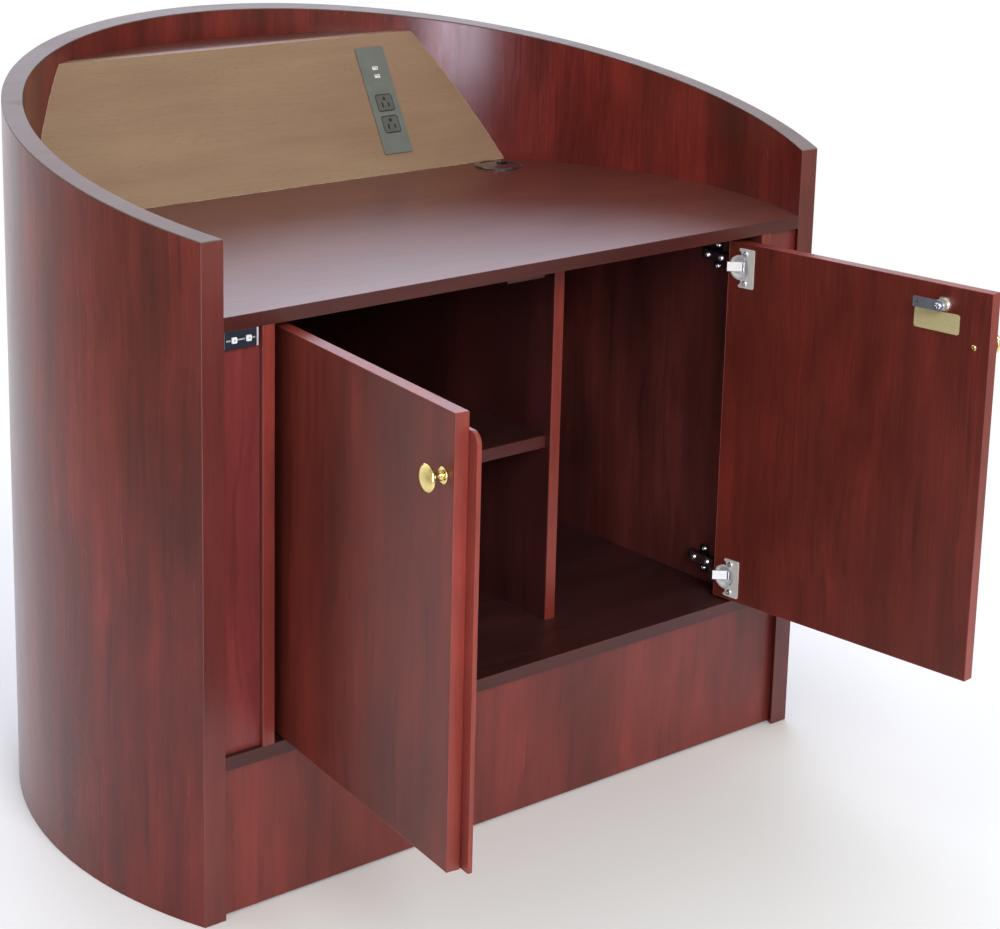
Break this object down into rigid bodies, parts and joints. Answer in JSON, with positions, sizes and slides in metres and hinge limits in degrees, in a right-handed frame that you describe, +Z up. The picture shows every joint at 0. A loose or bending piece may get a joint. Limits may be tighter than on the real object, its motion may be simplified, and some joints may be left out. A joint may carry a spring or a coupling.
{
  "type": "curved lectern desk",
  "caption": "Curved-front wooden pulpit desk with a sloping rim, a recessed desk and slope with sockets, a divided cupboard, inset doors and a cam lock.",
  "frame": {"origin": "on the floor, midway between the two flat ends of the curved wall's core, just behind their 2 mm edge bands", "axes": "+Z up, +Y from the open operator's side to the crown of the curved wall, +X to the operator's right"},
  "size_m": [1.22, 1.2866, 1.0959],
  "materials": {
    "shell_laminate": "vertical-grain dark cherry laminate, semi-gloss",
    "rim_band": "satin edge band on the rim and the wall's ends",
    "desk_laminate": "dark cherry laminate, semi-gloss",
    "slope_laminate": "dark cherry laminate, grain across",
    "cabinet_laminate": "dark cherry laminate",
    "door_laminate": "dark cherry laminate, vertical grain",
    "edge_band": "dark cherry edge band",
    "brass": "polished brass",
    "hinge_nickel": "bright nickel plate",
    "screw_steel": "zinc-plated steel",
    "hinge_black": "black enamel",
    "lock_chrome": "chrome plate",
    "cam_zinc": "zinc plate",
    "strip_grey": "grey anodised, satin",
    "outlet_grey": "moulded grey plastic",
    "port_white": "white plastic",
    "grommet_black": "moulded black plastic, satin",
    "switch_navy": "moulded dark plastic",
    "switch_pale": "pale plastic end strip",
    "button_white": "white plastic"
  },
  "bodies": {
    "lectern": {"curved_shell": "shell_laminate", "rim_edge_band": "rim_band", "shell_end_bands": "rim_band", "desktop": "desk_laminate", "desktop_edge_band": "edge_band", "slope_panel": "slope_laminate", "rear_ledge": "desk_laminate", "power_strip_bezel": "strip_grey", "power_strip_housing": "outlet_grey", "outlet_faces": "outlet_grey", "usb_ports": "port_white", "grommet_ring": "grommet_black", "left_side_panel": "cabinet_laminate", "right_side_panel": "cabinet_laminate", "side_panel_edge_bands": "edge_band", "left_filler_panel": "cabinet_laminate", "right_filler_panel": "cabinet_laminate", "centre_divider": "cabinet_laminate", "divider_edge_band": "edge_band", "shelf": "cabinet_laminate", "shelf_edge_band": "edge_band", "shelf_pins": "screw_steel", "floor_panel": "cabinet_laminate", "floor_edge_band": "edge_band", "kick_panel": "cabinet_laminate", "door_stop_block": "cabinet_laminate", "hinge_mounting_plates": "hinge_black", "hinge_plate_screws": "screw_steel", "hinge_arms": "hinge_nickel", "hinge_arm_screws": "screw_steel", "switch_plate": "switch_navy", "switch_end_strip": "switch_pale"},
    "left_door": {"left_door_panel": "door_laminate", "left_door_edge_band": "edge_band", "left_hinge_cups": "hinge_nickel", "left_hinge_cup_screws": "screw_steel", "left_knob": "brass", "left_knob_rosette": "brass", "left_knob_screw": "screw_steel", "astragal": "door_laminate"},
    "right_door": {"right_door_panel": "door_laminate", "right_door_edge_band": "edge_band", "right_hinge_cups": "hinge_nickel", "right_hinge_cup_screws": "screw_steel", "right_knob": "brass", "right_knob_rosette": "brass", "right_knob_screw": "brass", "lock_housing": "lock_chrome", "lock_nut": "lock_chrome", "nameplate": "brass"},
    "lock_cylinder": {"lock_plug": "lock_chrome", "lock_cam": "cam_zinc", "lock_cam_screw": "screw_steel"},
    "left_switch_button": {"left_button": "button_white"},
    "right_switch_button": {"right_button": "button_white"},
    "grommet_cover": {"grommet_cap": "grommet_black"}
  },
  "joints": [
    {"name": "left_door_hinge", "type": "hinge", "parent": "lectern", "child": "left_door", "pos_m": [-0.4185, 0.008, 0], "axis": [0, 0, 1], "range_deg": [0, 97]},
    {"name": "right_door_hinge", "type": "hinge", "parent": "lectern", "child": "right_door", "pos_m": [0.4185, 0.008, 0], "axis": [0, 0, -1], "range_deg": [0, 96.95]},
    {"name": "cam_lock_turn", "type": "hinge", "parent": "right_door", "child": "lock_cylinder", "pos_m": [0.47035, -0.33222, 0.774], "axis": [0.9925, 0.1219, 0], "range_deg": [0, 90]},
    {"name": "left_button_press", "type": "slide", "parent": "lectern", "child": "left_switch_button", "axis": [0, 1, 0], "range_m": [0, 0.0015], "stiffness_N_per_m": 200},
    {"name": "right_button_press", "type": "slide", "parent": "lectern", "child": "right_switch_button", "axis": [0, 1, 0], "range_m": [0, 0.0015], "stiffness_N_per_m": 200},
    {"name": "grommet_cap_turn", "type": "hinge", "parent": "lectern", "child": "grommet_cover", "pos_m": [0.405, 0.558, 0.829], "axis": [0, 0, 1], "continuous": true}
  ]
}
